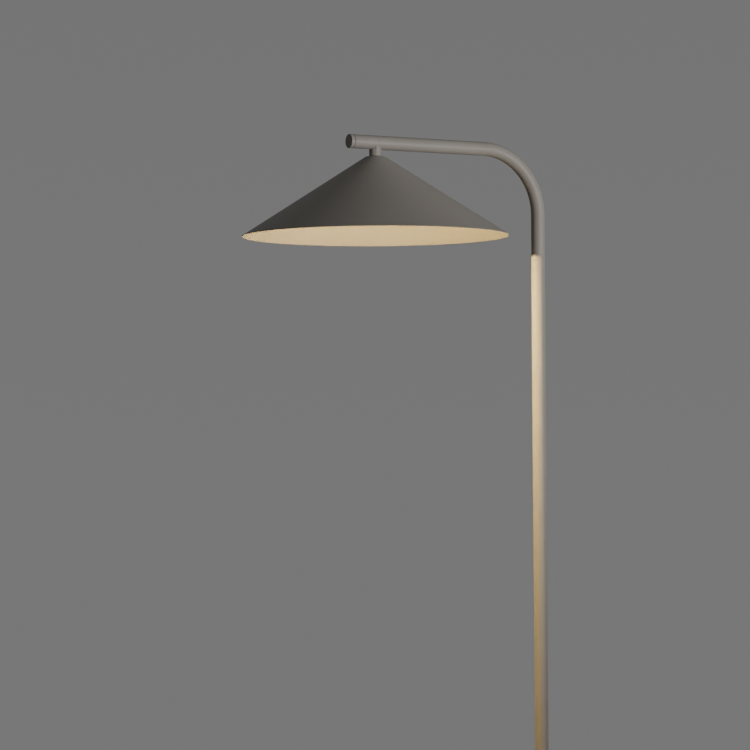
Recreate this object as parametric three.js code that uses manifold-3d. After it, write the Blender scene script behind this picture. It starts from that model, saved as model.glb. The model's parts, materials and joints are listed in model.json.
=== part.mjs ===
// Floor lamp: a shallow conical shade hangs by a short stem from a bent tube on a round base.
//
// Millimetres, +Z up. The origin is on the floor, on the pole's axis. The arm runs towards -X.
// The shade swivels and tilts on a ball joint hidden under its flat top, and the end cap of the
// arm is a push button for the dimmer.

import * as THREE from 'three';
import { mergeVertices } from 'three/addons/utils/BufferGeometryUtils.js';
import Module from 'manifold-3d';

// ---------------------------------------------------------------- driving dimensions

const GAP = 0.3; // clearance between touching pieces

// Bent tube: pole, bend and arm.
const TUBE_R = 10;
const TUBE_WALL = 1.5;
const ARM_Z = 1390; // centre line of the arm
const BEND_R = 93;
const POLE_TO_SHADE = 276;
const ARM_TIP_X = -(POLE_TO_SHADE + 43);
const SEAM_Z = 455; // joint between the two pole halves

// Shade.
const SHADE_R = 190;
const SHADE_WALL = 1;
const SHADE_TOP_Z = ARM_Z - 20;
const CONE_DROP = 0.64; // height lost per millimetre of radius
const CORNER_R = 13.4; // radius at which the cone would meet the flat top
const SHOULDER_R = 6;
const SHADE_HOLE_R = 10.6;
const RIM_Z = SHADE_TOP_Z - CONE_DROP * (SHADE_R - CORNER_R);

// Ball joint.
const PIVOT_Z = SHADE_TOP_Z - 9;
const BALL_R = 12.5;
const SEAT_WALL = 1;
const STEM_R = 8.5;
const STEM_BORE_R = 2.6;
const SHANK_R = 4;

// Light source.
const SINK_R = 42;
const SINK_TOP_Z = 1340.7;
const DIFFUSER_R = 28;
const EMITTER_Z = RIM_Z + 49;

// Dimmer button in the arm's end.
const BUTTON_LENGTH = 5.4;
const BUTTON_GAP = 0.6;
const BUTTON_BACK_X = ARM_TIP_X + BUTTON_LENGTH;
const ARM_END_X = BUTTON_BACK_X + BUTTON_GAP;
const SPIGOT_R = 5.4;
const SPIGOT_END_X = BUTTON_BACK_X + 11.4;

// Base.
const PAD_R = 136;
const PAD_THICKNESS = 2;
const BASE_R = 140;
const BASE_THICKNESS = 10;
const BASE_Z = PAD_THICKNESS + GAP;
const BASE_TOP_Z = BASE_Z + BASE_THICKNESS;
const POLE_FOOT_Z = BASE_TOP_Z + GAP;
const INLET_Z = 35;
const LEAD_R = 1.5;

const TUBE_BORE_R = TUBE_R - TUBE_WALL;
const INSERT_R = TUBE_BORE_R - GAP;
const CONE_ANGLE = Math.atan(CONE_DROP);

// ---------------------------------------------------------------- materials

const material = (color, roughness, metalness) =>
  new THREE.MeshStandardMaterial({ color, roughness, metalness });

const powderCoat = () => material(0x958d80, 0.7, 0.1);
const steel = () => material(0xb8b8b8, 0.35, 1);
const aluminium = () => material(0xc8c8ca, 0.4, 1);
const brass = () => material(0xc9a24f, 0.35, 1);
const whitePlastic = () => material(0xece8de, 0.6, 0);
const blackPlastic = () => material(0x222222, 0.6, 0);
const circuitBoard = () => material(0xd9ddd8, 0.5, 0);
const phosphor = () => material(0xf2d24a, 0.5, 0);
const opal = () => material(0xfff0d8, 0.4, 0);
const leadSheath = () => material(0x2b2b2b, 0.6, 0);
const foam = () => material(0x303030, 0.95, 0);

// ---------------------------------------------------------------- solids and booleans

const wasm = await Module();
wasm.setup();

function toSolid(geometry) {
  const bare = geometry.clone();
  bare.deleteAttribute('normal');
  bare.deleteAttribute('uv');
  const merged = mergeVertices(bare, 1e-4);
  const corners = merged.index.array;
  const triangles = [];
  for (let i = 0; i < corners.length; i += 3) {
    const [a, b, c] = corners.slice(i, i + 3);
    if (a !== b && b !== c && c !== a) triangles.push(a, b, c);
  }
  return new wasm.Manifold(new wasm.Mesh({
    numProp: 3,
    vertProperties: new Float32Array(merged.attributes.position.array),
    triVerts: new Uint32Array(triangles),
  }));
}

function toGeometry(solid) {
  const mesh = solid.getMesh();
  const geometry = new THREE.BufferGeometry();
  geometry.setAttribute('position', new THREE.BufferAttribute(mesh.vertProperties, 3));
  geometry.setIndex(new THREE.BufferAttribute(mesh.triVerts, 1));
  geometry.computeVertexNormals();
  return geometry;
}

function cut(geometry, ...tools) {
  const solid = tools.reduce((body, tool) => body.subtract(toSolid(tool)), toSolid(geometry));
  return toGeometry(solid);
}

function join(geometry, ...others) {
  const solid = others.reduce((body, other) => body.add(toSolid(other)), toSolid(geometry));
  return toGeometry(solid);
}

function common(geometry, other) {
  return toGeometry(toSolid(geometry).intersect(toSolid(other)));
}

// A body of revolution about Z. Each profile point is [radius, z], and the profile closes on
// itself unless it starts and ends on the axis.
function turned(profile, sides = 24) {
  const points = profile.map(([r, z]) => new THREE.Vector2(r, z));
  const onAxis = points[0].x === 0 && points.at(-1).x === 0;
  if (!onAxis) points.push(points[0].clone());
  const area = points.reduce((sum, p, i) => {
    const q = points[(i + 1) % points.length];
    return sum + p.x * q.y - q.x * p.y;
  }, 0);
  if (area < 0) points.reverse();
  return new THREE.LatheGeometry(points, sides).rotateX(Math.PI / 2);
}

// Cylinder or ring about Z between two heights.
function disc(radius, low, high, bore = 0, sides = 24) {
  return turned([[bore, low], [radius, low], [radius, high], [bore, high]], sides);
}

// The same about X, through the arm's centre line or at a height of its own.
function discX(radius, low, high, bore = 0, z = ARM_Z, sides = 24) {
  return disc(radius, low, high, bore, sides).rotateY(Math.PI / 2).translate(0, 0, z);
}

// Points of a circle of radius r about (0, z), from one polar angle to another in degrees,
// counted from straight up.
function arc(r, z, from, to, steps) {
  return Array.from({ length: steps + 1 }, (_, i) => {
    const angle = THREE.MathUtils.degToRad(from + ((to - from) * i) / steps);
    return [r * Math.sin(angle), z + r * Math.cos(angle)];
  });
}

// Copies round Z at a radius, the first one turned by an angle.
function ringOf(count, radius, turn, make) {
  return Array.from({ length: count }, (_, i) =>
    make().translate(radius, 0, 0).rotateZ(turn + (2 * Math.PI * i) / count));
}

const group = new THREE.Group();
const overShade = new THREE.Group(); // its origin is on the shade's axis
overShade.position.x = -POLE_TO_SHADE;
group.add(overShade);

function place(name, geometry, finish, parent = group) {
  const mesh = new THREE.Mesh(geometry, finish);
  mesh.name = name;
  parent.add(mesh);
  return mesh;
}

// ---------------------------------------------------------------- tubes along a route

// The line of the bent tube: up the pole, round the bend and along the arm. It is sampled at
// the ends of its straight stretches and at even steps round the bend.
class BentRoute extends THREE.Curve {
  constructor(startZ, endX, bendSteps) {
    super();
    const rise = ARM_Z - BEND_R - startZ;
    const bend = (BEND_R * Math.PI) / 2;
    this.startZ = startZ;
    this.rise = rise;
    this.bend = bend;
    this.stations = [0];
    for (let i = 0; i <= bendSteps; i += 1) this.stations.push(rise + (bend * i) / bendSteps);
    this.stations.push(rise + bend + (-BEND_R - endX));
  }

  get steps() {
    return this.stations.length - 1;
  }

  distanceAt(u) {
    const step = u * this.steps;
    const i = Math.min(Math.floor(step + 1e-9), this.steps - 1);
    return THREE.MathUtils.lerp(this.stations[i], this.stations[i + 1], step - i);
  }

  turnAt(distance) {
    return THREE.MathUtils.clamp((distance - this.rise) / BEND_R, 0, Math.PI / 2);
  }

  getPointAt(u, target = new THREE.Vector3()) {
    const distance = this.distanceAt(u);
    const turn = this.turnAt(distance);
    const before = Math.min(distance, this.rise);
    const after = Math.max(distance - this.rise - this.bend, 0);
    const x = -BEND_R * (1 - Math.cos(turn)) - after;
    return target.set(x, 0, this.startZ + before + BEND_R * Math.sin(turn));
  }

  getTangentAt(u, target = new THREE.Vector3()) {
    const turn = this.turnAt(this.distanceAt(u));
    return target.set(-Math.sin(turn), 0, Math.cos(turn));
  }
}

function circle(radius, bore = 0) {
  const shape = new THREE.Shape().absarc(0, 0, radius, 0, 2 * Math.PI);
  if (bore > 0) shape.holes.push(new THREE.Path().absarc(0, 0, bore, 0, 2 * Math.PI, true));
  return shape;
}

// A smooth line through points, with the same number of steps between every two of them, so
// that its bends are fine where its points are close together.
class LeadRoute extends THREE.CatmullRomCurve3 {
  getPointAt(u, target) {
    return this.getPoint(u, target);
  }

  getTangentAt(u, target) {
    return this.getTangent(u, target);
  }
}

// A round lead through a list of points.
function lead(points) {
  const stepsPerSpan = 3;
  const extrudePath = new LeadRoute(points.map((p) => new THREE.Vector3(...p)), false, 'centripetal');
  const steps = stepsPerSpan * (points.length - 1);
  return new THREE.ExtrudeGeometry(circle(LEAD_R), { steps, extrudePath, curveSegments: 4 });
}

// ---------------------------------------------------------------- base and pole

function basePad() {
  return disc(PAD_R, 0, PAD_THICKNESS, 0, 48);
}

const COUNTERBORE_R = 9;
const COUNTERBORE_TOP = BASE_Z + 5.5;
const BOLT_R = 4;

function basePlate() {
  const chamfer = 1.2;
  return turned([
    [COUNTERBORE_R, BASE_Z],
    [BASE_R - chamfer, BASE_Z],
    [BASE_R, BASE_Z + chamfer],
    [BASE_R, BASE_TOP_Z - chamfer],
    [BASE_R - chamfer, BASE_TOP_Z],
    [BOLT_R + 0.4, BASE_TOP_Z],
    [BOLT_R + 0.4, COUNTERBORE_TOP],
    [COUNTERBORE_R, COUNTERBORE_TOP],
  ], 64);
}

function baseWasher() {
  return disc(8.4, COUNTERBORE_TOP - GAP - 1.2, COUNTERBORE_TOP - GAP, BOLT_R + 0.4, 24);
}

// Cap screw with a hexagon socket, head down. The socket opens downwards.
function baseBolt() {
  const headTop = COUNTERBORE_TOP - 2 * GAP - 1.2;
  const headLow = BASE_Z + 0.2;
  const body = turned([
    [0, headLow],
    [6.5, headLow],
    [6.5, headTop],
    [BOLT_R, headTop],
    [BOLT_R, POLE_FOOT_Z + 10],
    [0, POLE_FOOT_Z + 10],
  ], 24);
  return cut(body, disc(2.8, headLow - 1, headLow + 2, 0, 6));
}

function poleFootInsert() {
  return disc(INSERT_R, POLE_FOOT_Z, POLE_FOOT_Z + 12, BOLT_R + GAP, 24);
}

function poleLower() {
  const tube = disc(TUBE_R, POLE_FOOT_Z, SEAM_Z - GAP / 2, TUBE_BORE_R);
  return cut(tube, discX(4.2, 5, 15, 0, INLET_Z, 16));
}

// Flanged bush in the back of the pole's foot, where the mains cord goes in.
function cableGrommet() {
  const flangeX = TUBE_R + GAP;
  return turned([
    [LEAD_R + GAP, 8],
    [4.2 - GAP, 8],
    [4.2 - GAP, flangeX],
    [6, flangeX],
    [5.4, flangeX + 2.4],
    [LEAD_R + GAP, flangeX + 2.4],
  ], 16).rotateY(Math.PI / 2).translate(0, 0, INLET_Z);
}

const STUD_R = 5;

function couplerSocket() {
  return disc(INSERT_R, SEAM_Z - 30, SEAM_Z - GAP, STUD_R + GAP, 24);
}

function couplerStud() {
  const bore = LEAD_R + 1;
  return turned([
    [bore, SEAM_Z - 24],
    [STUD_R, SEAM_Z - 24],
    [STUD_R, SEAM_Z + GAP],
    [INSERT_R, SEAM_Z + GAP],
    [INSERT_R, SEAM_Z + 24],
    [bore, SEAM_Z + 24],
  ], 24);
}

function armTube() {
  const route = new BentRoute(SEAM_Z + GAP / 2, ARM_END_X, 14);
  const tube = new THREE.ExtrudeGeometry(circle(TUBE_R, TUBE_BORE_R), {
    steps: route.steps,
    extrudePath: route,
    curveSegments: 12,
  });
  const stemHole = disc(SHANK_R + GAP, ARM_Z - 14, ARM_Z - 4, 0, 20);
  return cut(tube, stemHole.translate(-POLE_TO_SHADE, 0, 0));
}

// ---------------------------------------------------------------- stem and its fixings

// Neck and ball in one piece, with a threaded shank that goes up through the arm. The neck's
// top is shaped to the tube. The bore widens below the pivot so that the lead can swing.
function stem() {
  const neckPolar = THREE.MathUtils.radToDeg(Math.asin(STEM_R / BALL_R));
  const flareR = 5;
  const flarePolar = 180 - THREE.MathUtils.radToDeg(Math.asin(flareR / BALL_R));
  const body = turned([
    [STEM_BORE_R, ARM_Z - 0.5],
    [SHANK_R, ARM_Z - 0.5],
    [SHANK_R, ARM_Z - 5],
    [STEM_R, ARM_Z - 5],
    ...arc(BALL_R, PIVOT_Z, neckPolar, flarePolar, 8),
    [STEM_BORE_R, PIVOT_Z],
  ]);
  const shoulderRoom = cut(
    discX(TUBE_R + GAP, -30, 30, 0, ARM_Z, 40),
    disc(SHANK_R, ARM_Z - 20, ARM_Z + 20),
  );
  return cut(body, shoulderRoom);
}

function saddleWasher() {
  const ring = disc(6.2, ARM_Z - TUBE_BORE_R, ARM_Z - 5, SHANK_R + GAP);
  return common(ring, discX(INSERT_R, -20, 20, 0, ARM_Z, 40));
}

function stemNut() {
  return cut(
    disc(6.35, ARM_Z - 4.7, ARM_Z - 1.7, 0, 6),
    disc(SHANK_R + GAP, ARM_Z - 10, ARM_Z + 5),
  );
}

// ---------------------------------------------------------------- dimmer button

function dimmerButton() {
  const chamfer = 0.4;
  return turned([
    [0, ARM_TIP_X],
    [TUBE_R - chamfer, ARM_TIP_X],
    [TUBE_R, ARM_TIP_X + chamfer],
    [TUBE_R, BUTTON_BACK_X],
    [SPIGOT_R, BUTTON_BACK_X],
    [SPIGOT_R, SPIGOT_END_X],
    [0, SPIGOT_END_X],
  ], 32).rotateY(Math.PI / 2).translate(0, 0, ARM_Z);
}

const GUIDE_END_X = ARM_END_X + 16.6;
const BOARD_X = GUIDE_END_X + GAP;
const BOARD_THICKNESS = 1.5;

function buttonGuide() {
  return discX(INSERT_R, ARM_END_X + 1, GUIDE_END_X, SPIGOT_R + 0.4);
}

function switchBoard() {
  return discX(7.6, BOARD_X, BOARD_X + BOARD_THICKNESS);
}

function tactSwitch() {
  const back = BOARD_X - GAP;
  const bodyLength = 3.5;
  const body = new THREE.BoxGeometry(bodyLength, 6, 6);
  body.translate(back - bodyLength / 2, 0, ARM_Z);
  return join(body, discX(1.7, SPIGOT_END_X + 0.8, back - 1, 0, ARM_Z, 12));
}

// ---------------------------------------------------------------- leads

const LEAD_TOP = ARM_Z + 4;

function supplyLead() {
  const riseEnd = ARM_Z - BEND_R;
  const bend = [15, 30, 45, 60, 75].map((degrees) => {
    const turn = THREE.MathUtils.degToRad(degrees);
    return [-BEND_R * (1 - Math.cos(turn)), 0, riseEnd + BEND_R * Math.sin(turn)];
  });
  return lead([
    [TUBE_R + 1.5, 0, INLET_Z],
    [8, 0, INLET_Z],
    [3.5, 0, INLET_Z + 2.5],
    [0.8, 0, INLET_Z + 8],
    [0, 0, INLET_Z + 17],
    [0, 0, 300],
    [0, 0, 700],
    [0, 0, 1100],
    [0, 0, riseEnd],
    ...bend,
    [-BEND_R, 0, ARM_Z],
    [-150, 1, ARM_Z + 0.5],
    [-230, 4, ARM_Z + 3],
    [-POLE_TO_SHADE, 4.6, LEAD_TOP],
    [-290, 4.6, LEAD_TOP],
    [BOARD_X + BOARD_THICKNESS + GAP, 4.6, LEAD_TOP - 1],
  ]);
}

// From the dimmer board back and down into the stem's bore.
function lampLead() {
  const x = -POLE_TO_SHADE;
  return lead([
    [BOARD_X + BOARD_THICKNESS + GAP, -2, ARM_Z + 3],
    [x - 11, -2, ARM_Z + 4],
    [x - 5, -1, ARM_Z + 5.4],
    [x - 1.4, 0, ARM_Z + 3.6],
    [x, 0, ARM_Z - 1],
    [x, 0, ARM_Z - 6],
    [x, 0, ARM_Z - 16],
    [x, 0, PIVOT_Z + 1],
  ]);
}

function ledLead() {
  return disc(LEAD_R, SINK_TOP_Z - 3.9, PIVOT_Z - 0.6, 0, 8);
}

// ---------------------------------------------------------------- ball joint under the shade

const SEAT_IN = BALL_R + GAP;
const SEAT_OUT = SEAT_IN + SEAT_WALL;
const SOCKET_IN = SEAT_OUT + GAP;
const SOCKET_OUT = 17.5;
const CONE_WALL_X = SHADE_WALL / Math.sin(CONE_ANGLE);

// Height of the underside of the cone at a radius.
const underCone = (r) => SHADE_TOP_Z - CONE_DROP * (r + CONE_WALL_X - CORNER_R);

function ballSeat() {
  return turned([
    ...arc(SEAT_OUT, PIVOT_Z, 66, 118, 5),
    ...arc(SEAT_IN, PIVOT_Z, 118, 66, 5),
  ]);
}

const SOCKET_FOOT_Z = SINK_TOP_Z + GAP;

// Its conical flange carries the shade, its lip holds the ball and its foot takes the sink.
function jointSocket() {
  const coneGap = 0.4;
  const lipZ = SHADE_TOP_Z - SHADE_WALL - GAP;
  const lipPolar = THREE.MathUtils.radToDeg(Math.acos((lipZ - PIVOT_Z) / SOCKET_IN));
  const flangeR = 26;
  const footR = 25;
  const footTop = SOCKET_FOOT_Z + 3;
  const topR = CORNER_R - CONE_WALL_X + (SHADE_WALL + GAP - coneGap) / CONE_DROP;
  const body = turned([
    ...arc(SOCKET_IN, PIVOT_Z, lipPolar, 90, 4),
    [SOCKET_IN, SOCKET_FOOT_Z],
    [footR, SOCKET_FOOT_Z],
    [footR, footTop],
    [SOCKET_OUT, footTop],
    [SOCKET_OUT, underCone(flangeR) - coneGap - 4],
    [flangeR, underCone(flangeR) - coneGap - 1],
    [flangeR, underCone(flangeR) - coneGap],
    [topR, lipZ],
  ]);
  const holes = ringOf(3, SINK_SCREW_R, 0, () => disc(1.7, SOCKET_FOOT_Z - 2, footTop + 2, 0, 12));
  return cut(body, ...holes);
}

// Lower cup: its top face lies on a ray from the pivot, so it stays clear of the seat.
function pressureCup() {
  const topPolar = THREE.MathUtils.degToRad(130);
  const outer = SEAT_OUT - 0.1;
  const rayZ = PIVOT_Z + outer / Math.tan(topPolar);
  return turned([
    ...arc(SEAT_IN, PIVOT_Z, 152, 130, 3),
    [outer, rayZ],
    [outer, PIVOT_Z - 15],
    [6, PIVOT_Z - 15],
  ]);
}

// Three-wave spring washer.
function waveWasher() {
  const low = PIVOT_Z - 16.3;
  const ring = disc(13.4, low + 0.3, low + 0.7, 9, 36);
  const position = ring.attributes.position;
  for (let i = 0; i < position.count; i += 1) {
    const angle = Math.atan2(position.getY(i), position.getX(i));
    position.setZ(i, position.getZ(i) + 0.28 * Math.cos(3 * angle));
  }
  return ring;
}

function clampRing() {
  const top = PIVOT_Z - 16.6;
  const ring = disc(SEAT_OUT - 0.1, SOCKET_FOOT_Z + 0.4, top, 6.5);
  const slots = ringOf(2, 10.5, 0, () => new THREE.BoxGeometry(9, 2.4, 2.4));
  return cut(ring, ...slots.map((slot) => slot.translate(0, 0, SOCKET_FOOT_Z + 0.4)));
}

// ---------------------------------------------------------------- shade

function shade() {
  const tangent = SHOULDER_R * Math.tan(CONE_ANGLE / 2);
  const slope = THREE.MathUtils.radToDeg(CONE_ANGLE);
  const shoulderZ = SHADE_TOP_Z - SHOULDER_R;
  const shoulder = (r, steps) =>
    arc(r, shoulderZ, 0, slope, steps).map(([x, z]) => [x + CORNER_R - tangent, z]);
  const inward = [Math.sin(CONE_ANGLE) * SHADE_WALL, Math.cos(CONE_ANGLE) * SHADE_WALL];
  return turned([
    [SHADE_HOLE_R, SHADE_TOP_Z],
    ...shoulder(SHOULDER_R, 3),
    [SHADE_R, RIM_Z],
    [SHADE_R - inward[0], RIM_Z - inward[1]],
    ...shoulder(SHOULDER_R - SHADE_WALL, 3).reverse(),
    [SHADE_HOLE_R, SHADE_TOP_Z - SHADE_WALL],
  ], 72);
}

// ---------------------------------------------------------------- light source

const SINK_PLATE = 4.2;
const SINK_LOW_Z = SINK_TOP_Z - SINK_PLATE;
const SINK_SCREW_R = 21.5;
const COVER_SCREW_R = 36;
const COVER_SCREW_TURN = Math.PI / 18; // midway between two fins
const BOARD_LOW_Z = SINK_LOW_Z - GAP - 1.4;
const COVER_LIP = 1.2;
const COVER_LOW_Z = EMITTER_Z - COVER_LIP - GAP;

function heatSink() {
  const finHeight = 8.5;
  const finLength = 9;
  const fins = ringOf(18, 33, 0, () => {
    const fin = new THREE.BoxGeometry(finLength, 1.4, finHeight + 1);
    return fin.translate(0, 0, SINK_TOP_Z + (finHeight - 1) / 2);
  });
  const plate = disc(SINK_R, SINK_LOW_Z, SINK_TOP_Z, 3.2, 36);
  const throughHole = () => disc(1.8, SINK_LOW_Z - 1, SINK_TOP_Z + 1, 0, 12);
  const blindHole = () => disc(1.5, SINK_LOW_Z - 1, SINK_TOP_Z - 0.7, 0, 12);
  return cut(
    join(plate, ...fins),
    ...ringOf(3, SINK_SCREW_R, 0, throughHole),
    ...ringOf(3, COVER_SCREW_R, COVER_SCREW_TURN, blindHole),
  );
}

// Pan head screw, head down, with a slot.
function screw(shankR, shankTop, headTop, headR, headHeight) {
  const body = turned([
    [0, headTop - headHeight],
    [headR * 0.7, headTop - headHeight],
    [headR, headTop - headHeight * 0.5],
    [headR, headTop],
    [shankR, headTop],
    [shankR, shankTop],
    [0, shankTop],
  ], 16);
  const slot = new THREE.BoxGeometry(2.4 * headR, 0.7, 1);
  return cut(body, slot.translate(0, 0, headTop - headHeight));
}

const sinkScrew = () => screw(1.4, SOCKET_FOOT_Z + 2.8, SINK_LOW_Z - GAP, 2.7, 1.9);
const coverScrew = () => screw(1.2, SINK_TOP_Z - 1.2, COVER_LOW_Z + 2.6, 2.2, 1.6);

function ledBoard() {
  return disc(17, BOARD_LOW_Z, SINK_LOW_Z - GAP);
}

function ledChip() {
  return disc(7, BOARD_LOW_Z - GAP - 1.2, BOARD_LOW_Z - GAP, 0, 20);
}

// White cup round the chip.
function reflector() {
  const low = EMITTER_Z + 1.6 + GAP;
  const high = BOARD_LOW_Z - GAP;
  return turned([
    [7.6, high],
    [9.2, high],
    [DIFFUSER_R, low + 1],
    [DIFFUSER_R, low],
    [DIFFUSER_R - 1.6, low],
  ]);
}

function diffuser() {
  return disc(DIFFUSER_R, EMITTER_Z, EMITTER_Z + 1.6, 0, 32);
}

// Shallow white dish that closes the light source from below and holds the diffuser. Its three
// bosses stand under the sink, and their screws sit in sinkings in its face.
function lampCover() {
  const low = COVER_LOW_Z;
  const outer = SINK_R + 2;
  const floor = low + 1.8;
  const ringR = DIFFUSER_R + GAP;
  const dish = turned([
    [DIFFUSER_R - 1.5, low],
    [outer - 2.5, low],
    [outer, low + 2.5],
    [outer, SINK_TOP_Z],
    [outer - 1.5, SINK_TOP_Z],
    [outer - 1.5, low + 3.1],
    [outer - 2.8, floor],
    [ringR + 1.2, floor],
    [ringR + 1.2, EMITTER_Z + 3],
    [ringR, EMITTER_Z + 3],
    [ringR, low + COVER_LIP],
    [DIFFUSER_R - 1.5, low + COVER_LIP],
  ], 40);
  const atScrews = (make) => ringOf(3, COVER_SCREW_R, COVER_SCREW_TURN, make);
  const bosses = atScrews(() => disc(3.8, low + 0.5, SINK_LOW_Z - GAP, 0, 16));
  const holes = atScrews(() => disc(1.5, low - 1, SINK_LOW_Z + 1, 0, 12));
  const sinkings = atScrews(() => disc(2.6, low - 1, low + 2.9, 0, 16));
  return cut(join(dish, ...bosses), ...holes, ...sinkings);
}

// ---------------------------------------------------------------- assembly

place('base_pad', basePad(), foam());
place('base_plate', basePlate(), powderCoat());
place('base_washer', baseWasher(), steel());
place('base_bolt', baseBolt(), steel());
place('pole_foot_insert', poleFootInsert(), steel());
place('pole_lower', poleLower(), powderCoat());
place('cable_grommet', cableGrommet(), blackPlastic());
place('coupler_socket', couplerSocket(), steel());
place('coupler_stud', couplerStud(), steel());
place('arm_tube', armTube(), powderCoat());
place('dimmer_button', dimmerButton(), powderCoat());
place('button_guide', buttonGuide(), blackPlastic());
place('switch_board', switchBoard(), circuitBoard());
place('tact_switch', tactSwitch(), blackPlastic());
place('supply_lead', supplyLead(), leadSheath());
place('lamp_lead', lampLead(), leadSheath());

place('stem', stem(), powderCoat(), overShade);
place('saddle_washer', saddleWasher(), steel(), overShade);
place('stem_nut', stemNut(), brass(), overShade);
place('ball_seat', ballSeat(), whitePlastic(), overShade);
place('joint_socket', jointSocket(), aluminium(), overShade);
place('pressure_cup', pressureCup(), whitePlastic(), overShade);
place('wave_washer', waveWasher(), steel(), overShade);
place('clamp_ring', clampRing(), brass(), overShade);
place('shade', shade(), powderCoat(), overShade);
place('heat_sink', heatSink(), aluminium(), overShade);
place('led_board', ledBoard(), circuitBoard(), overShade);
place('led_chip', ledChip(), phosphor(), overShade);
place('reflector', reflector(), whitePlastic(), overShade);
place('diffuser', diffuser(), opal(), overShade);
place('lamp_cover', lampCover(), whitePlastic(), overShade);
place('led_lead', ledLead(), leadSheath(), overShade);
ringOf(3, SINK_SCREW_R, 0, sinkScrew).forEach((geometry, i) => {
  place(`heat_sink_screw_${i + 1}`, geometry, steel(), overShade);
});
ringOf(3, COVER_SCREW_R, COVER_SCREW_TURN, coverScrew).forEach((geometry, i) => {
  place(`cover_screw_${i + 1}`, geometry, steel(), overShade);
});

export default group;
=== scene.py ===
"""Visible surfaces of the floor lamp: a lit conical shade under a bent tube on a round base.

Metres, +Z up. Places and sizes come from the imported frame; the few that its boxes don't show
are named below or where they are used.
"""

import json
import math

import bpy
from mathutils import Matrix, Vector


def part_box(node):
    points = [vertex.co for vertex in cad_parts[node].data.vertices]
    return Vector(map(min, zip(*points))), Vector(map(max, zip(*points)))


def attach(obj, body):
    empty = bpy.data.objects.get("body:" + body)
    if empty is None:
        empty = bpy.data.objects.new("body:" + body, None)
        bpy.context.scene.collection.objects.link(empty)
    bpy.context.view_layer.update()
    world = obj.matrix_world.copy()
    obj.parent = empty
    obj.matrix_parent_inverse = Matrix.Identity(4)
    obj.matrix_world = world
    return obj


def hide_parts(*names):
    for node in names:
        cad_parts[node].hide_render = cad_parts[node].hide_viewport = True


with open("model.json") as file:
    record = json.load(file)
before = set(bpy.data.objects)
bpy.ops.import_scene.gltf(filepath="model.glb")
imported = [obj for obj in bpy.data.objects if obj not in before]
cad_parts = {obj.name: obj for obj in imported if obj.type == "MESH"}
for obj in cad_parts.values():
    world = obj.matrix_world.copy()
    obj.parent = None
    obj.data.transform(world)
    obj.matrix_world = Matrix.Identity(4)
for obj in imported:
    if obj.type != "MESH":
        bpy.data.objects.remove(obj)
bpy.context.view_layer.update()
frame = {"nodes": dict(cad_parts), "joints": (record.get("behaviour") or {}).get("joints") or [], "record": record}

MM = 0.001

# ------------------------------------------------------------------ sizes

TUBE_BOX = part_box("arm_tube")
POLE_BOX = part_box("pole_lower")
SHADE_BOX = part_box("shade")
STEM_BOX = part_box("stem")
BUTTON_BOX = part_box("dimmer_button")
BASE_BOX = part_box("base_plate")
PAD_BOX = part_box("base_pad")
GROMMET_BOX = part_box("cable_grommet")
COVER_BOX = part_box("lamp_cover")
DIFFUSER_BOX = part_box("diffuser")
SINK_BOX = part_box("heat_sink")
SOCKET_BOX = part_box("joint_socket")

PIVOT = Vector(next(j["pos_m"] for j in frame["joints"] if j["name"] == "shade_tilt"))
AXIS_X = PIVOT.x  # the shade's axis

TUBE_R = (TUBE_BOX[1].y - TUBE_BOX[0].y) / 2
TUBE_WALL = 1.5 * MM
TUBE_BORE_R = TUBE_R - TUBE_WALL
ARM_Z = TUBE_BOX[1].z - TUBE_R
BEND_R = 93 * MM
INLET_Z = (GROMMET_BOX[0].z + GROMMET_BOX[1].z) / 2

SHADE_R = (SHADE_BOX[1].x - SHADE_BOX[0].x) / 2
SHADE_TOP_Z = SHADE_BOX[1].z
SHADE_WALL = 1 * MM
SHADE_HOLE_R = 10.6 * MM
CONE_DROP = 0.64  # height lost per metre of radius
CONE_ANGLE = math.atan(CONE_DROP)
CORNER_R = 13.4 * MM  # where the flat top would meet the cone without its shoulder
SHOULDER_R = 6 * MM
RIM_Z = SHADE_TOP_Z - CONE_DROP * (SHADE_R - CORNER_R)

COVER_LOW_Z, COVER_HIGH_Z = COVER_BOX[0].z, COVER_BOX[1].z
COVER_R = (COVER_BOX[1].x - COVER_BOX[0].x) / 2
COVER_SCREW_RING_R = 36 * MM
COVER_SCREW_TURN = math.pi / 18
DIFFUSER_R = (DIFFUSER_BOX[1].x - DIFFUSER_BOX[0].x) / 2
EMITTER_Z = DIFFUSER_BOX[0].z
SINK_R = (SINK_BOX[1].x - SINK_BOX[0].x) / 2
SINK_LOW_Z, SINK_HIGH_Z = SINK_BOX[0].z, SINK_BOX[1].z

ON_AXIS = (AXIS_X, 0, 0)
ON_ARM = (0, 0, ARM_Z)
AT_INLET = (0, 0, INLET_Z)

# ------------------------------------------------------------------ outlines

NO_LENGTH = 1e-9
NEARLY_STRAIGHT = math.radians(88)
MOST_OF_AN_EDGE = 0.49


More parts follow.
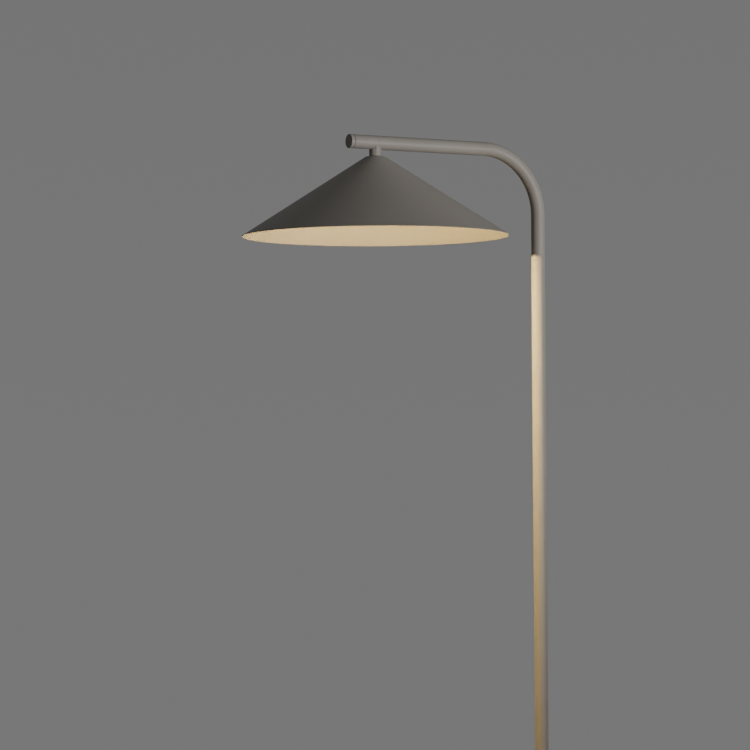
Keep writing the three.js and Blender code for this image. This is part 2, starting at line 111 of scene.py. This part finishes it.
def fillet(points, radius, closed=True, steps=5):
    """The outline with its corners rounded. radius is one value, or a dict of corner to radius."""
    rounded = []
    count = len(points)
    for i, point in enumerate(points):
        r = radius.get(i, 0) if isinstance(radius, dict) else radius
        here = Vector(point)
        before = Vector(points[i - 1]) - here
        after = Vector(points[(i + 1) % count]) - here
        at_end = not closed and i in (0, count - 1)
        if at_end or r <= 0 or min(before.length, after.length) < NO_LENGTH:
            rounded.append(tuple(here))
            continue
        half = before.angle(after) / 2
        if half > NEARLY_STRAIGHT:
            rounded.append(tuple(here))
            continue
        longest = MOST_OF_AN_EDGE * min(before.length, after.length)
        reach = min(r / math.tan(half), longest)
        r = reach * math.tan(half)
        start = here + before.normalized() * reach
        end = here + after.normalized() * reach
        inward = (before.normalized() + after.normalized()).normalized()
        centre = here + inward * (r / math.sin(half))
        first, last = start - centre, end - centre
        turn = first.angle_signed(last)
        for k in range(steps + 1):
            spoke = first.copy()
            spoke.rotate(Matrix.Rotation(-turn * k / steps, 2))
            rounded.append(tuple(centre + spoke))
    return rounded


def arc(radius, centre_z, start, end, steps):
    """Points (r, z) of a circle on the axis, by polar angle in degrees counted from straight up."""
    angles = [math.radians(start + (end - start) * k / steps) for k in range(steps + 1)]
    return [(radius * math.sin(a), centre_z + radius * math.cos(a)) for a in angles]


# ------------------------------------------------------------------ meshes

SHARP_ANGLE = math.radians(40)


def shade_smooth(mesh):
    """Smooth but for its sharp edges."""
    mesh.polygons.foreach_set("use_smooth", [True] * len(mesh.polygons))
    mesh.set_sharp_from_angle(angle=SHARP_ANGLE)


def add_object(name, verts, faces):
    mesh = bpy.data.meshes.new(name)
    mesh.from_pydata([tuple(v) for v in verts], [], faces)
    mesh.validate()
    shade_smooth(mesh)
    piece = bpy.data.objects.new(name, mesh)
    bpy.context.scene.collection.objects.link(piece)
    return piece


def weigh_normals(piece):
    """Keeps broad faces flat beside their rounded edges."""
    modifier = piece.modifiers.new("weighted normals", "WEIGHTED_NORMAL")
    modifier.keep_sharp = True
    modifier.weight = 90
    return piece


def turned(name, profile, place=(0, 0, 0), segments=96, axis="Z"):
    """A body of revolution. The profile is (radius, height) points, anticlockwise in a (r, z)
    plane; it closes on itself unless both its ends are on the axis."""
    open_ends = profile[0][0] < NO_LENGTH and profile[-1][0] < NO_LENGTH
    rings = []
    verts = []
    for r, z in profile:
        if r < NO_LENGTH:
            rings.append([len(verts)] * segments)
            verts.append((0, 0, z))
            continue
        rings.append(list(range(len(verts), len(verts) + segments)))
        for k in range(segments):
            a = 2 * math.pi * k / segments
            verts.append((r * math.cos(a), r * math.sin(a), z))
    faces = []
    pairs = list(zip(rings, rings[1:]))
    if not open_ends:
        pairs.append((rings[-1], rings[0]))
    for low, high in pairs:
        for k in range(segments):
            n = (k + 1) % segments
            corners = [low[k], low[n], high[n], high[k]]
            face = [c for i, c in enumerate(corners) if c not in corners[:i]]
            if len(face) > 2:
                faces.append(face)
    if axis == "X":
        verts = [(z, y, -x) for x, y, z in verts]
    verts = [(x + place[0], y + place[1], z + place[2]) for x, y, z in verts]
    return weigh_normals(add_object(name, verts, faces))


def swept(name, route, outline, segments=72):
    """A hollow tube on a route. The outline is (distance along the route, radius) points, with
    the outer wall first."""
    verts = []
    rings = []
    for distance, radius in outline:
        centre, normal, side = route(distance)
        rings.append(list(range(len(verts), len(verts) + segments)))
        for k in range(segments):
            a = 2 * math.pi * k / segments
            verts.append(centre + (normal * math.cos(a) + side * math.sin(a)) * radius)
    faces = []
    for low, high in zip(rings, rings[1:] + rings[:1]):
        for k in range(segments):
            n = (k + 1) % segments
            faces.append([low[k], low[n], high[n], high[k]])
    return weigh_normals(add_object(name, verts, faces))


def cylinder(radius, low, high, place=(0, 0, 0), segments=64, axis="Z"):
    """A plain cutter for booleans."""
    outline = [(0, low), (radius, low), (radius, high), (0, high)]
    return turned("cutter", outline, place, segments, axis)


def carve(piece, cutter, operation="DIFFERENCE"):
    """Cuts the cutter from the piece, or joins it, for good, and removes it."""
    modifier = piece.modifiers.new("carve", "BOOLEAN")
    modifier.operation = operation
    modifier.solver = "EXACT"
    modifier.object = cutter
    piece.modifiers.move(len(piece.modifiers) - 1, 0)
    for other in piece.modifiers:
        other.show_viewport = other == modifier
    shown = piece.evaluated_get(bpy.context.evaluated_depsgraph_get())
    carved = bpy.data.meshes.new_from_object(shown)
    piece.modifiers.remove(modifier)
    for other in piece.modifiers:
        other.show_viewport = True
    piece.data = carved
    shade_smooth(carved)
    bpy.data.objects.remove(cutter)


def ring_of(count, radius, first_turn=0):
    """The place and the turn of each member of a ring round the shade's axis."""
    for k in range(count):
        a = first_turn + 2 * math.pi * k / count
        yield (AXIS_X + radius * math.cos(a), radius * math.sin(a), 0), a


# ------------------------------------------------------------------ materials

NOISE_LOW, NOISE_HIGH = 0.3, 0.7  # where most of a noise lies


class Nodes:
    """A small helper round one material's node tree."""

    def __init__(self, name):
        self.material = bpy.data.materials.new(name)
        self.material.use_nodes = True
        self.tree = self.material.node_tree
        self.shader = self.tree.nodes["Principled BSDF"]
        self.place = self.add("ShaderNodeTexCoord").outputs["Object"]

    def add(self, kind, **values):
        node = self.tree.nodes.new(kind)
        for key, value in values.items():
            setattr(node, key, value)
        return node

    def link(self, source, target):
        self.tree.links.new(source, target)

    def set(self, **values):
        for key, value in values.items():
            self.shader.inputs[key.replace("_", " ")].default_value = value

    def noise(self, scale, detail=2, roughness=0.5, stretch=None):
        node = self.add("ShaderNodeTexNoise")
        node.inputs["Scale"].default_value = scale
        node.inputs["Detail"].default_value = detail
        node.inputs["Roughness"].default_value = roughness
        source = self.place
        if stretch:
            mapping = self.add("ShaderNodeMapping")
            mapping.inputs["Scale"].default_value = stretch
            self.link(self.place, mapping.inputs["Vector"])
            source = mapping.outputs["Vector"]
        self.link(source, node.inputs["Vector"])
        return node.outputs["Fac"]

    def between(self, value, low, high):
        node = self.add("ShaderNodeMapRange")
        node.inputs["From Min"].default_value = NOISE_LOW
        node.inputs["From Max"].default_value = NOISE_HIGH
        node.inputs["To Min"].default_value = low
        node.inputs["To Max"].default_value = high
        self.link(value, node.inputs["Value"])
        return node.outputs["Result"]

    def colours(self, value, dark, light, start=NOISE_LOW, end=NOISE_HIGH):
        node = self.add("ShaderNodeValToRGB")
        node.color_ramp.elements[0].position = start
        node.color_ramp.elements[1].position = end
        node.color_ramp.elements[0].color = (*dark, 1)
        node.color_ramp.elements[1].color = (*light, 1)
        self.link(value, node.inputs["Fac"])
        return node.outputs["Color"]

    def bump(self, height, strength, distance, under=None):
        node = self.add("ShaderNodeBump")
        node.inputs["Strength"].default_value = strength
        node.inputs["Distance"].default_value = distance
        self.link(height, node.inputs["Height"])
        if under:
            self.link(under, node.inputs["Normal"])
        return node.outputs["Normal"]


def shades_of(colour, spread):
    """The colour a share darker and a share lighter."""
    dark = tuple(c * (1 - spread) for c in colour)
    light = tuple(min(c * (1 + spread), 1) for c in colour)
    return dark, light


def powder_coat(name, colour, roughness=0.48):
    """Fine matt powder coat: a dense grain over a faint orange peel."""
    fleck_grey, white = (0.93, 0.93, 0.93), (1, 1, 1)
    m = Nodes(name)
    grain = m.noise(scale=1900, detail=3, roughness=0.6)
    peel = m.noise(scale=330, detail=1)
    cloud = m.noise(scale=9, detail=3)
    flecks = m.noise(scale=2600, detail=1)
    tone = m.add("ShaderNodeMix", data_type="RGBA", blend_type="MULTIPLY")
    first_colour, second_colour = tone.inputs[6], tone.inputs[7]
    mixed_colour = tone.outputs[2]
    tone.inputs["Factor"].default_value = 1
    m.link(m.colours(cloud, *shades_of(colour, spread=0.035)), first_colour)
    m.link(m.colours(flecks, fleck_grey, white, start=0.32, end=0.5), second_colour)
    m.link(mixed_colour, m.shader.inputs["Base Color"])
    m.link(m.between(grain, roughness - 0.07, roughness + 0.08), m.shader.inputs["Roughness"])
    wave = m.bump(peel, strength=0.05, distance=0.12 * MM)
    rough = m.bump(grain, strength=0.2, distance=0.05 * MM, under=wave)
    m.link(rough, m.shader.inputs["Normal"])
    m.set(Specular_IOR_Level=0.3)
    return m.material


def moulded(name, colour, roughness=0.6, grain=900):
    """Moulded plastic with a fine spark-eroded grain."""
    m = Nodes(name)
    texture = m.noise(grain, detail=3)
    cloud = m.noise(scale=14)
    m.link(m.colours(cloud, *shades_of(colour, spread=0.05)), m.shader.inputs["Base Color"])
    m.link(m.between(texture, roughness - 0.08, roughness + 0.08), m.shader.inputs["Roughness"])
    m.link(m.bump(texture, strength=0.3, distance=0.05 * MM), m.shader.inputs["Normal"])
    return m.material


def bare_metal(name, colour, roughness):
    """Machined or plated metal with fine tool lines round its upright axis."""
    m = Nodes(name)
    lines = m.noise(scale=300, detail=4, stretch=(1, 1, 30))
    m.link(m.colours(lines, *shades_of(colour, spread=0.08)), m.shader.inputs["Base Color"])
    m.link(m.between(lines, roughness - 0.08, roughness + 0.1), m.shader.inputs["Roughness"])
    m.link(m.bump(lines, strength=0.15, distance=0.02 * MM), m.shader.inputs["Normal"])
    m.set(Metallic=1)
    return m.material


def foam(name, colour):
    """Closed-cell foam: rough, with small round cells."""
    m = Nodes(name)
    cells = m.add("ShaderNodeTexVoronoi")
    cells.inputs["Scale"].default_value = 900
    m.link(m.place, cells.inputs["Vector"])
    cloud = m.noise(scale=60)
    m.link(m.colours(cloud, *shades_of(colour, spread=0.2)), m.shader.inputs["Base Color"])
    dents = m.bump(cells.outputs["Distance"], strength=0.5, distance=0.2 * MM)
    m.link(dents, m.shader.inputs["Normal"])
    m.set(Roughness=0.95)
    return m.material


def lit_opal(name, glow, strength):
    """Opal acrylic that glows evenly."""
    opal = (0.86, 0.8, 0.68)
    m = Nodes(name)
    cloud = m.noise(scale=120)
    m.link(m.colours(cloud, *shades_of(opal, spread=0.03)), m.shader.inputs["Base Color"])
    m.set(Roughness=0.4, Emission_Strength=strength, Emission_Color=(*glow, 1))
    return m.material


TAUPE = (0.30, 0.275, 0.245)
LAMP_GLOW = (1.0, 0.73, 0.285)
LAMP_STRENGTH = 2050

MATERIALS = {
    "shade_paint": powder_coat("shade powder coat", TAUPE),
    "stand_paint": powder_coat("stand powder coat", TAUPE),
    "stem_paint": powder_coat("stem powder coat", TAUPE),
    "base_paint": powder_coat("base powder coat", TAUPE),
    "button_paint": powder_coat("button powder coat", TAUPE),
    "white_paint": moulded("cover white", (0.72, 0.69, 0.62)),
    "opal": lit_opal("lit opal", LAMP_GLOW, LAMP_STRENGTH),
    "phosphor": moulded("phosphor gel", (0.85, 0.62, 0.12), roughness=0.3, grain=200),
    "circuit_board": moulded("solder mask", (0.65, 0.68, 0.65), roughness=0.45, grain=300),
    "nylon": moulded("nylon", (0.80, 0.79, 0.74), roughness=0.55),
    "black_plastic": moulded("black plastic", (0.02, 0.02, 0.02)),
    "lead_sheath": moulded("lead sheath", (0.025, 0.025, 0.025), roughness=0.55, grain=500),
    "foam": foam("foam", (0.03, 0.03, 0.03)),
    "steel": bare_metal("zinc plated steel", (0.55, 0.55, 0.56), roughness=0.38),
    "aluminium": bare_metal("aluminium", (0.60, 0.60, 0.61), roughness=0.42),
    "brass": bare_metal("brass", (0.66, 0.47, 0.16), roughness=0.35),
}


def finish_piece(piece, slot, body, node):
    """Gives the piece its material, hides the CAD node that it replaces and sets the piece on the body that it
    rides on.
    """
    piece.data.materials.clear()
    piece.data.materials.append(MATERIALS[slot])
    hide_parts(node)
    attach(piece, body)


# ------------------------------------------------------------------ shade head


def between_points(a, b, steps):
    """Points strictly between two, closer together near both ends."""
    points = []
    for k in range(1, steps):
        t = (1 - math.cos(math.pi * k / steps)) / 2
        points.append((a[0] + (b[0] - a[0]) * t, a[1] + (b[1] - a[1]) * t))
    return points


def shade():
    """Spun steel cone with a small flat top, a soft shoulder and a rounded rim."""
    shoulder_steps, cone_steps, edge_steps = 12, 14, 8
    tangent = SHOULDER_R * math.tan(CONE_ANGLE / 2)
    slope = math.degrees(CONE_ANGLE)

    def shoulder(radius):
        points = arc(radius, SHADE_TOP_Z - SHOULDER_R, 0, slope, shoulder_steps)
        return [(r + CORNER_R - tangent, z) for r, z in points]

    half = SHADE_WALL / 2
    inward = Vector((-math.sin(CONE_ANGLE), -math.cos(CONE_ANGLE)))
    down = Vector((math.cos(CONE_ANGLE), -math.sin(CONE_ANGLE)))
    middle = Vector((SHADE_R, RIM_Z)) + inward * half - down * half
    turns = [math.pi * k / edge_steps for k in range(edge_steps + 1)]
    edge = [tuple(middle - inward * half * math.cos(a) + down * half * math.sin(a)) for a in turns]
    outer, inner = shoulder(SHOULDER_R), shoulder(SHOULDER_R - SHADE_WALL)
    chamfer = 0.15 * MM
    outline = [
        (SHADE_HOLE_R, SHADE_TOP_Z - SHADE_WALL + chamfer),
        (SHADE_HOLE_R, SHADE_TOP_Z - chamfer),
        (SHADE_HOLE_R + chamfer, SHADE_TOP_Z),
        *outer,
        *between_points(outer[-1], edge[0], cone_steps),
        *edge,
        *between_points(edge[-1], inner[-1], cone_steps),
        *inner[::-1],
        (SHADE_HOLE_R + chamfer, SHADE_TOP_Z - SHADE_WALL),
    ]
    piece = turned("spun_shade", outline[::-1], ON_AXIS, segments=256)
    finish_piece(piece, "shade_paint", "shade_head", "shade")


def lamp_cover():
    """White dish under the heat sink, with its lip over the diffuser and three screw bosses."""
    low, floor = COVER_LOW_Z, COVER_LOW_Z + 1.8 * MM
    rim_wall, ring_wall, lip = 1.5 * MM, 1.2 * MM, 1.2 * MM
    lip_r = DIFFUSER_R - 1.5 * MM
    ring_r = DIFFUSER_R + 0.3 * MM
    ring_top = EMITTER_Z + 3 * MM
    outline = [
        (lip_r, low),
        (COVER_R, low),
        (COVER_R, COVER_HIGH_Z),
        (COVER_R - rim_wall, COVER_HIGH_Z),
        (COVER_R - rim_wall, floor),
        (ring_r + ring_wall, floor),
        (ring_r + ring_wall, ring_top),
        (ring_r, ring_top),
        (ring_r, low + lip),
        (lip_r, low + lip),
    ]
    radii = {0: 0.5 * MM, 1: 2.5 * MM, 2: 0.4 * MM, 3: 0.4 * MM, 4: 1.4 * MM, 9: 0.2 * MM}
    piece = turned("cover_dish", fillet(outline, radii, steps=8), ON_AXIS, segments=160)

    boss_r, hole_r, head_r = 3.8 * MM, 1.5 * MM, 2.6 * MM
    boss_low, boss_high = low + 0.5 * MM, SINK_LOW_Z - 0.3 * MM
    head_depth, spare = 2.9 * MM, 1 * MM
    for place, _ in ring_of(3, COVER_SCREW_RING_R, COVER_SCREW_TURN):
        carve(piece, cylinder(boss_r, boss_low, boss_high, place), "UNION")
        carve(piece, cylinder(hole_r, low - spare, SINK_LOW_Z + spare, place, segments=32))
        carve(piece, cylinder(head_r, low - spare, low + head_depth, place, segments=48))
    finish_piece(piece, "white_paint", "shade_head", "lamp_cover")


def cover_screws():
    """Domed screws with a hexagon socket, head down in the cover's bosses."""
    head_r, head = 2.2 * MM, 1.6 * MM
    shank_r = 1.2 * MM
    socket_r, socket_depth, spare = 1.0 * MM, 0.9 * MM, 1 * MM
    for index in (1, 2, 3):
        low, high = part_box(f"cover_screw_{index}")
        place = ((low.x + high.x) / 2, (low.y + high.y) / 2, 0)
        outline = [
            (0, low.z),
            (head_r * 0.55, low.z + 0.05 * MM),
            (head_r * 0.85, low.z + 0.4 * MM),
            (head_r, low.z + 1.0 * MM),
            (head_r, low.z + head),
            (shank_r, low.z + head),
            (shank_r, high.z - 0.3 * MM),
            (shank_r * 0.7, high.z),
            (0, high.z),
        ]
        piece = turned(f"dome_screw_{index}", outline, place, segments=40)
        carve(piece, cylinder(socket_r, low.z - spare, low.z + socket_depth, place, segments=6))
        finish_piece(piece, "steel", "shade_head", f"cover_screw_{index}")


def diffuser():
    """Opal disc with softened edges."""
    high = DIFFUSER_BOX[1].z
    outline = [(0, EMITTER_Z), (DIFFUSER_R, EMITTER_Z), (DIFFUSER_R, high), (0, high)]
    piece = turned("opal_disc", fillet(outline, 0.3 * MM, closed=False), ON_AXIS)
    finish_piece(piece, "opal", "shade_head", "diffuser")


def heat_sink():
    """Turned plate with upright fins round the socket's foot."""
    bore_r = 3.2 * MM
    plate_top = SOCKET_BOX[0].z - 0.3 * MM
    outline = [(bore_r, SINK_LOW_Z), (SINK_R, SINK_LOW_Z), (SINK_R, plate_top), (bore_r, plate_top)]
    piece = turned("finned_sink", fillet(outline, 0.4 * MM), ON_AXIS, segments=160)
    fin_count, fin_ring_r = 18, 33 * MM
    fin_length, fin_width = 9 * MM, 1.4 * MM
    sunk = 1 * MM  # how far a fin reaches into the plate
    for (x, y, _), turn in ring_of(fin_count, fin_ring_r):
        bpy.ops.mesh.primitive_cube_add(size=1)
        box = bpy.context.object
        box.scale = (fin_length, fin_width, SINK_HIGH_Z - plate_top + sunk)
        box.rotation_euler.z = turn
        box.location = (x, y, (SINK_HIGH_Z + plate_top - sunk) / 2)
        bpy.ops.object.transform_apply(location=True, rotation=True, scale=True)
        bevel = box.modifiers.new("bevel", "BEVEL")
        bevel.width = 0.35 * MM
        bevel.segments = 3
        carve(piece, box, "UNION")
    finish_piece(piece, "aluminium", "shade_head", "heat_sink")


def joint_socket():
    """Socket of the ball joint: a conical flange under the shade and a round foot on the sink."""
    seat_r = 14.1 * MM
    wall_r = 17.5 * MM
    foot_r, foot_top = 25 * MM, SOCKET_BOX[0].z + 3 * MM
    flange_r = (SOCKET_BOX[1].x - SOCKET_BOX[0].x) / 2
    lip_z = SOCKET_BOX[1].z
    flange_root, flange_edge = 4 * MM, 1 * MM
    cone_wall = SHADE_WALL / math.sin(CONE_ANGLE)
    gap = 0.4 * MM
    ball_steps = 12

    def under_cone(r):
        return SHADE_TOP_Z - CONE_DROP * (r + cone_wall - CORNER_R) - gap

    lip_polar = math.degrees(math.acos((lip_z - PIVOT.z) / seat_r))
    top_r = CORNER_R - cone_wall + (SHADE_TOP_Z - gap - lip_z) / CONE_DROP
    outer = [
        (seat_r, SOCKET_BOX[0].z),
        (foot_r, SOCKET_BOX[0].z),
        (foot_r, foot_top),
        (wall_r, foot_top),
        (wall_r, under_cone(flange_r) - flange_root),
        (flange_r, under_cone(flange_r) - flange_edge),
        (flange_r, under_cone(flange_r)),
        (top_r, lip_z),
    ]
    radii = {1: 0.4 * MM, 2: 0.6 * MM, 3: 1 * MM, 4: 1 * MM, 5: 0.3 * MM}
    seat = arc(seat_r, PIVOT.z, lip_polar, 90, ball_steps)
    outline = fillet(outer, radii, closed=False) + seat
    piece = turned("ball_socket", outline, ON_AXIS, segments=120)
    finish_piece(piece, "aluminium", "shade_head", "joint_socket")


# ------------------------------------------------------------------ stand


def tube_route(start_z):
    """The line of the bent tube, from a height on the pole: the point, normal and side at a
    distance along it, and the lengths of its rise and its bend."""
    rise = ARM_Z - BEND_R - start_z
    bend = BEND_R * math.pi / 2

    def at(distance):
        turn = min(max((distance - rise) / BEND_R, 0), math.pi / 2)
        after = max(distance - rise - bend, 0)
        x = -BEND_R * (1 - math.cos(turn)) - after
        z = start_z + min(distance, rise) + BEND_R * math.sin(turn)
        return Vector((x, 0, z)), Vector((math.cos(turn), 0, math.sin(turn))), Vector((0, 1, 0))

    return at, rise, bend


def bent_tube():
    """Pole, bend and arm in one tube, open at both ends, with softened edges."""
    start_z, end_x = TUBE_BOX[0].z, TUBE_BOX[0].x
    route, rise, bend = tube_route(start_z)
    length = rise + bend + (-BEND_R - end_x)
    edge = 0.2 * MM
    bend_steps, edge_steps, quarters = 36, 6, (0.25, 0.5, 0.75)
    along = [rise * t for t in quarters]
    along += [rise + bend * k / bend_steps for k in range(bend_steps + 1)]
    along += [rise + bend + (length - rise - bend) * t for t in quarters]
    corners = [math.radians(90 * k / edge_steps) for k in range(edge_steps + 1)]
    start_edge = [(edge * (1 - math.sin(a)), TUBE_R - edge * (1 - math.cos(a))) for a in corners]
    end_edge = [(length - d, r) for d, r in start_edge[::-1]]
    outer = [(d, TUBE_R) for d in along]
    inner = [(d, TUBE_BORE_R) for d in [length - 2 * edge, *along[::-1], 2 * edge]]
    outline = [(0, TUBE_BORE_R), *start_edge, *outer, *end_edge, (length, TUBE_BORE_R), *inner]
    piece = swept("bent_tube", route, outline)
    hole_r, hole_low, hole_high = 4.3 * MM, ARM_Z - 14 * MM, ARM_Z - 4 * MM
    carve(piece, cylinder(hole_r, hole_low, hole_high, ON_AXIS, segments=40))
    finish_piece(piece, "stand_paint", "stand", "arm_tube")


def lower_pole():
    """Straight tube with softened ends and a hole at the back for the cord inlet."""
    low, high = POLE_BOX[0].z, POLE_BOX[1].z
    hole_r, hole_start, hole_end = 4.2 * MM, 5 * MM, 15 * MM
    outline = [(TUBE_BORE_R, low), (TUBE_R, low), (TUBE_R, high), (TUBE_BORE_R, high)]
    piece = turned("lower_pole", fillet(outline, 0.4 * MM), segments=72)
    carve(piece, cylinder(hole_r, hole_start, hole_end, AT_INLET, axis="X"))
    finish_piece(piece, "stand_paint", "stand", "pole_lower")


def cord_inlet():
    """Flanged black bush at the back of the pole's foot."""
    bore, barrel = 1.8 * MM, 3.9 * MM
    flange, flange_taper = (GROMMET_BOX[1].z - GROMMET_BOX[0].z) / 2, 0.6 * MM
    low, high = GROMMET_BOX[0].x, GROMMET_BOX[1].x
    flange_start = high - 2.4 * MM
    outline = [
        (bore, low),
        (barrel, low),
        (barrel, flange_start),
        (flange, flange_start),
        (flange - flange_taper, high),
        (bore, high),
    ]
    rounded = fillet(outline, {1: 0.3 * MM, 3: 0.5 * MM, 4: 0.9 * MM, 5: 0.5 * MM})
    piece = turned("cord_inlet", rounded, AT_INLET, segments=64, axis="X")
    finish_piece(piece, "black_plastic", "stand", "cable_grommet")


def stem():
    """Neck and ball in one, with its top shaped to the tube."""
    neck_r, ball_r, bore = 8.5 * MM, 12.5 * MM, 2.6 * MM
    shank_r, flare_r = 4 * MM, 5 * MM
    neck_polar = math.degrees(math.asin(neck_r / ball_r))
    flare_polar = 180 - math.degrees(math.asin(flare_r / ball_r))
    ball_steps = 24
    top, shank_low = STEM_BOX[1].z, ARM_Z - 5 * MM
    outline = [
        (bore, PIVOT.z),
        *arc(ball_r, PIVOT.z, flare_polar, neck_polar, ball_steps),
        (neck_r, shank_low),
        (shank_r, shank_low),
        (shank_r, top),
        (bore, top),
    ]
    piece = turned("neck", outline, ON_AXIS)
    room_r, room_half, spare = TUBE_R + 0.05 * MM, 30 * MM, 20 * MM
    room = cylinder(room_r, -room_half, room_half, (AXIS_X, 0, ARM_Z), segments=128, axis="X")
    carve(room, cylinder(shank_r, ARM_Z - spare, ARM_Z + spare, ON_AXIS, segments=96))
    carve(piece, room)
    finish_piece(piece, "stem_paint", "stand", "stem")


def end_button():
    """Cap of the arm: the dimmer's push button, with its spigot inside the tube."""
    tip, end = BUTTON_BOX[0].x, BUTTON_BOX[1].x
    back = tip + 5.4 * MM
    spigot_r = 5.4 * MM
    outline = [
        (0, tip),
        (TUBE_R, tip),
        (TUBE_R, back),
        (spigot_r, back),
        (spigot_r, end),
        (0, end),
    ]
    radii = {1: 0.4 * MM, 2: 0.15 * MM, 3: 0.4 * MM, 4: 0.4 * MM}
    piece = turned("end_button", fillet(outline, radii, closed=False), ON_ARM, axis="X")
    finish_piece(piece, "button_paint", "button", "dimmer_button")


def base_disc():
    """Steel disc with softly rounded edges and a counterbore for the pole's bolt."""
    low, high = BASE_BOX[0].z, BASE_BOX[1].z
    radius = (BASE_BOX[1].x - BASE_BOX[0].x) / 2
    bolt_r, sink_r, sink_top = 4.4 * MM, 9 * MM, low + 5.5 * MM
    outline = [
        (sink_r, low),
        (radius, low),
        (radius, high),
        (bolt_r, high),
        (bolt_r, sink_top),
        (sink_r, sink_top),
    ]
    radii = {0: 0.2 * MM, 1: 1 * MM, 2: 2 * MM, 3: 0.2 * MM}
    piece = turned("base_disc", fillet(outline, radii, steps=8), segments=256)
    finish_piece(piece, "base_paint", "stand", "base_plate")


def foot_pad():
    """Foam disc under the base."""
    radius, high = (PAD_BOX[1].x - PAD_BOX[0].x) / 2, PAD_BOX[1].z
    outline = [(0, 0), (radius, 0), (radius, high), (0, high)]
    piece = turned("foot_pad", fillet(outline, 0.4 * MM, closed=False), segments=192)
    finish_piece(piece, "foam", "stand", "base_pad")


shade()
lamp_cover()
cover_screws()
diffuser()
heat_sink()
joint_socket()
bent_tube()
lower_pole()
cord_inlet()
stem()
end_button()
base_disc()
foot_pad()

# The inner CAD parts are shown as they are, with the same materials.
SLOT_OF = {part["node"]: part["material_slot"] for part in frame["record"]["subparts"]}
for name, node in frame["nodes"].items():
    node.data.materials.clear()
    node.data.materials.append(MATERIALS[SLOT_OF[name]])

# ------------------------------------------------------------------ stage, light and camera

YAW = math.radians(30)
FORWARD = Vector((math.sin(YAW), math.cos(YAW), 0))
RIGHT = Vector((math.cos(YAW), -math.sin(YAW), 0))
UP = Vector((0, 0, 1))

CAMERA_DISTANCE = 3.691
CAMERA_HEIGHT = 0.974
CAMERA_PITCH = math.radians(1.33)
CAMERA_ROLL = math.radians(-0.35)
CAMERA_SIDE = 2.2 * MM  # left of the shade's axis
CAMERA_REACH = 50
FOCAL = 125

KEY_AIM = Vector((AXIS_X / 2, 0, 1.25))
KEY_SIDE = math.radians(46)  # from the camera to its right
KEY_HEIGHT = 0.9
KEY_DISTANCE = 3.0
KEY_SIZE = (0.6, 0.9)
KEY_POWER = 3.1
KEY_SPREAD = math.radians(34)

ROOM_GREY = (0.187, 0.187, 0.188)
LEFT_SHARE = 0.5
TOP_SHARE = 0.85

FLOOR_R = 3
FLOOR_THICKNESS = 20 * MM
FLOOR_DROP = 0.5 * MM  # keeps the floor's face off the foot pad's
FLOOR_COLOUR = (0.45, 0.435, 0.415)


def camera():
    data = bpy.data.cameras.new("camera")
    data.lens = FOCAL
    data.clip_end = CAMERA_REACH
    seen = bpy.data.objects.new("camera", data)
    bpy.context.scene.collection.objects.link(seen)
    back = -FORWARD * math.cos(CAMERA_PITCH) - Vector((0, 0, math.sin(CAMERA_PITCH)))
    up = back.cross(RIGHT)
    basis = Matrix((RIGHT, up, back)).transposed().to_4x4()
    place = Vector((AXIS_X, 0, CAMERA_HEIGHT)) - FORWARD * CAMERA_DISTANCE - RIGHT * CAMERA_SIDE
    seen.matrix_world = Matrix.Translation(place) @ basis @ Matrix.Rotation(CAMERA_ROLL, 4, "Z")
    bpy.context.scene.camera = seen


def key_light():
    """A soft area light to the right of the camera, aimed at the lamp's head."""
    data = bpy.data.lights.new("key", "AREA")
    data.shape = "RECTANGLE"
    data.size, data.size_y = KEY_SIZE
    data.energy = KEY_POWER
    data.spread = KEY_SPREAD
    light = bpy.data.objects.new("key", data)
    bpy.context.scene.collection.objects.link(light)
    side = -FORWARD * math.cos(KEY_SIDE) + RIGHT * math.sin(KEY_SIDE)
    place = KEY_AIM + side * KEY_DISTANCE
    place.z = KEY_HEIGHT
    aim = (KEY_AIM - place).to_track_quat("-Z", "Y").to_matrix().to_4x4()
    light.matrix_world = Matrix.Translation(place) @ aim


def soft_room():
    """An even grey all round that falls to a share of it on the camera's left and overhead."""
    world = bpy.data.worlds.new("studio")
    world.use_nodes = True
    bpy.context.scene.world = world
    tree = world.node_tree
    background = tree.nodes["Background"]
    place = tree.nodes.new("ShaderNodeTexCoord")

    def fall(direction, start, end, share):
        """1 away from the direction and the share of it towards it, by the angle's cosine."""
        toward = tree.nodes.new("ShaderNodeVectorMath")
        toward.operation = "DOT_PRODUCT"
        toward.inputs[1].default_value = direction
        ramp = tree.nodes.new("ShaderNodeMapRange")
        ramp.inputs["From Min"].default_value = start
        ramp.inputs["From Max"].default_value = end
        ramp.inputs["To Min"].default_value = 1
        ramp.inputs["To Max"].default_value = share
        tree.links.new(place.outputs["Generated"], toward.inputs[0])
        tree.links.new(toward.outputs["Value"], ramp.inputs["Value"])
        return ramp.outputs["Result"]

    both = tree.nodes.new("ShaderNodeMath")
    both.operation = "MULTIPLY"
    tree.links.new(fall(-RIGHT, start=0.3, end=0.9, share=LEFT_SHARE), both.inputs[0])
    tree.links.new(fall(UP, start=0, end=0.6, share=TOP_SHARE), both.inputs[1])
    tree.links.new(both.outputs["Value"], background.inputs["Strength"])
    background.inputs["Color"].default_value = (*ROOM_GREY, 1)


def stage_floor():
    """A round pale floor."""
    outline = [(0, -FLOOR_THICKNESS), (FLOOR_R, -FLOOR_THICKNESS), (FLOOR_R, 0), (0, 0)]
    piece = turned("floor", outline, segments=128)
    piece.modifiers.clear()
    m = Nodes("pale floor")
    cloud = m.noise(scale=3)
    m.link(m.colours(cloud, *shades_of(FLOOR_COLOUR, spread=0.02)), m.shader.inputs["Base Color"])
    m.set(Roughness=0.9)
    piece.data.materials.append(m.material)
    piece.location.z = -FLOOR_DROP


camera()
stage_floor()
soft_room()
key_light()
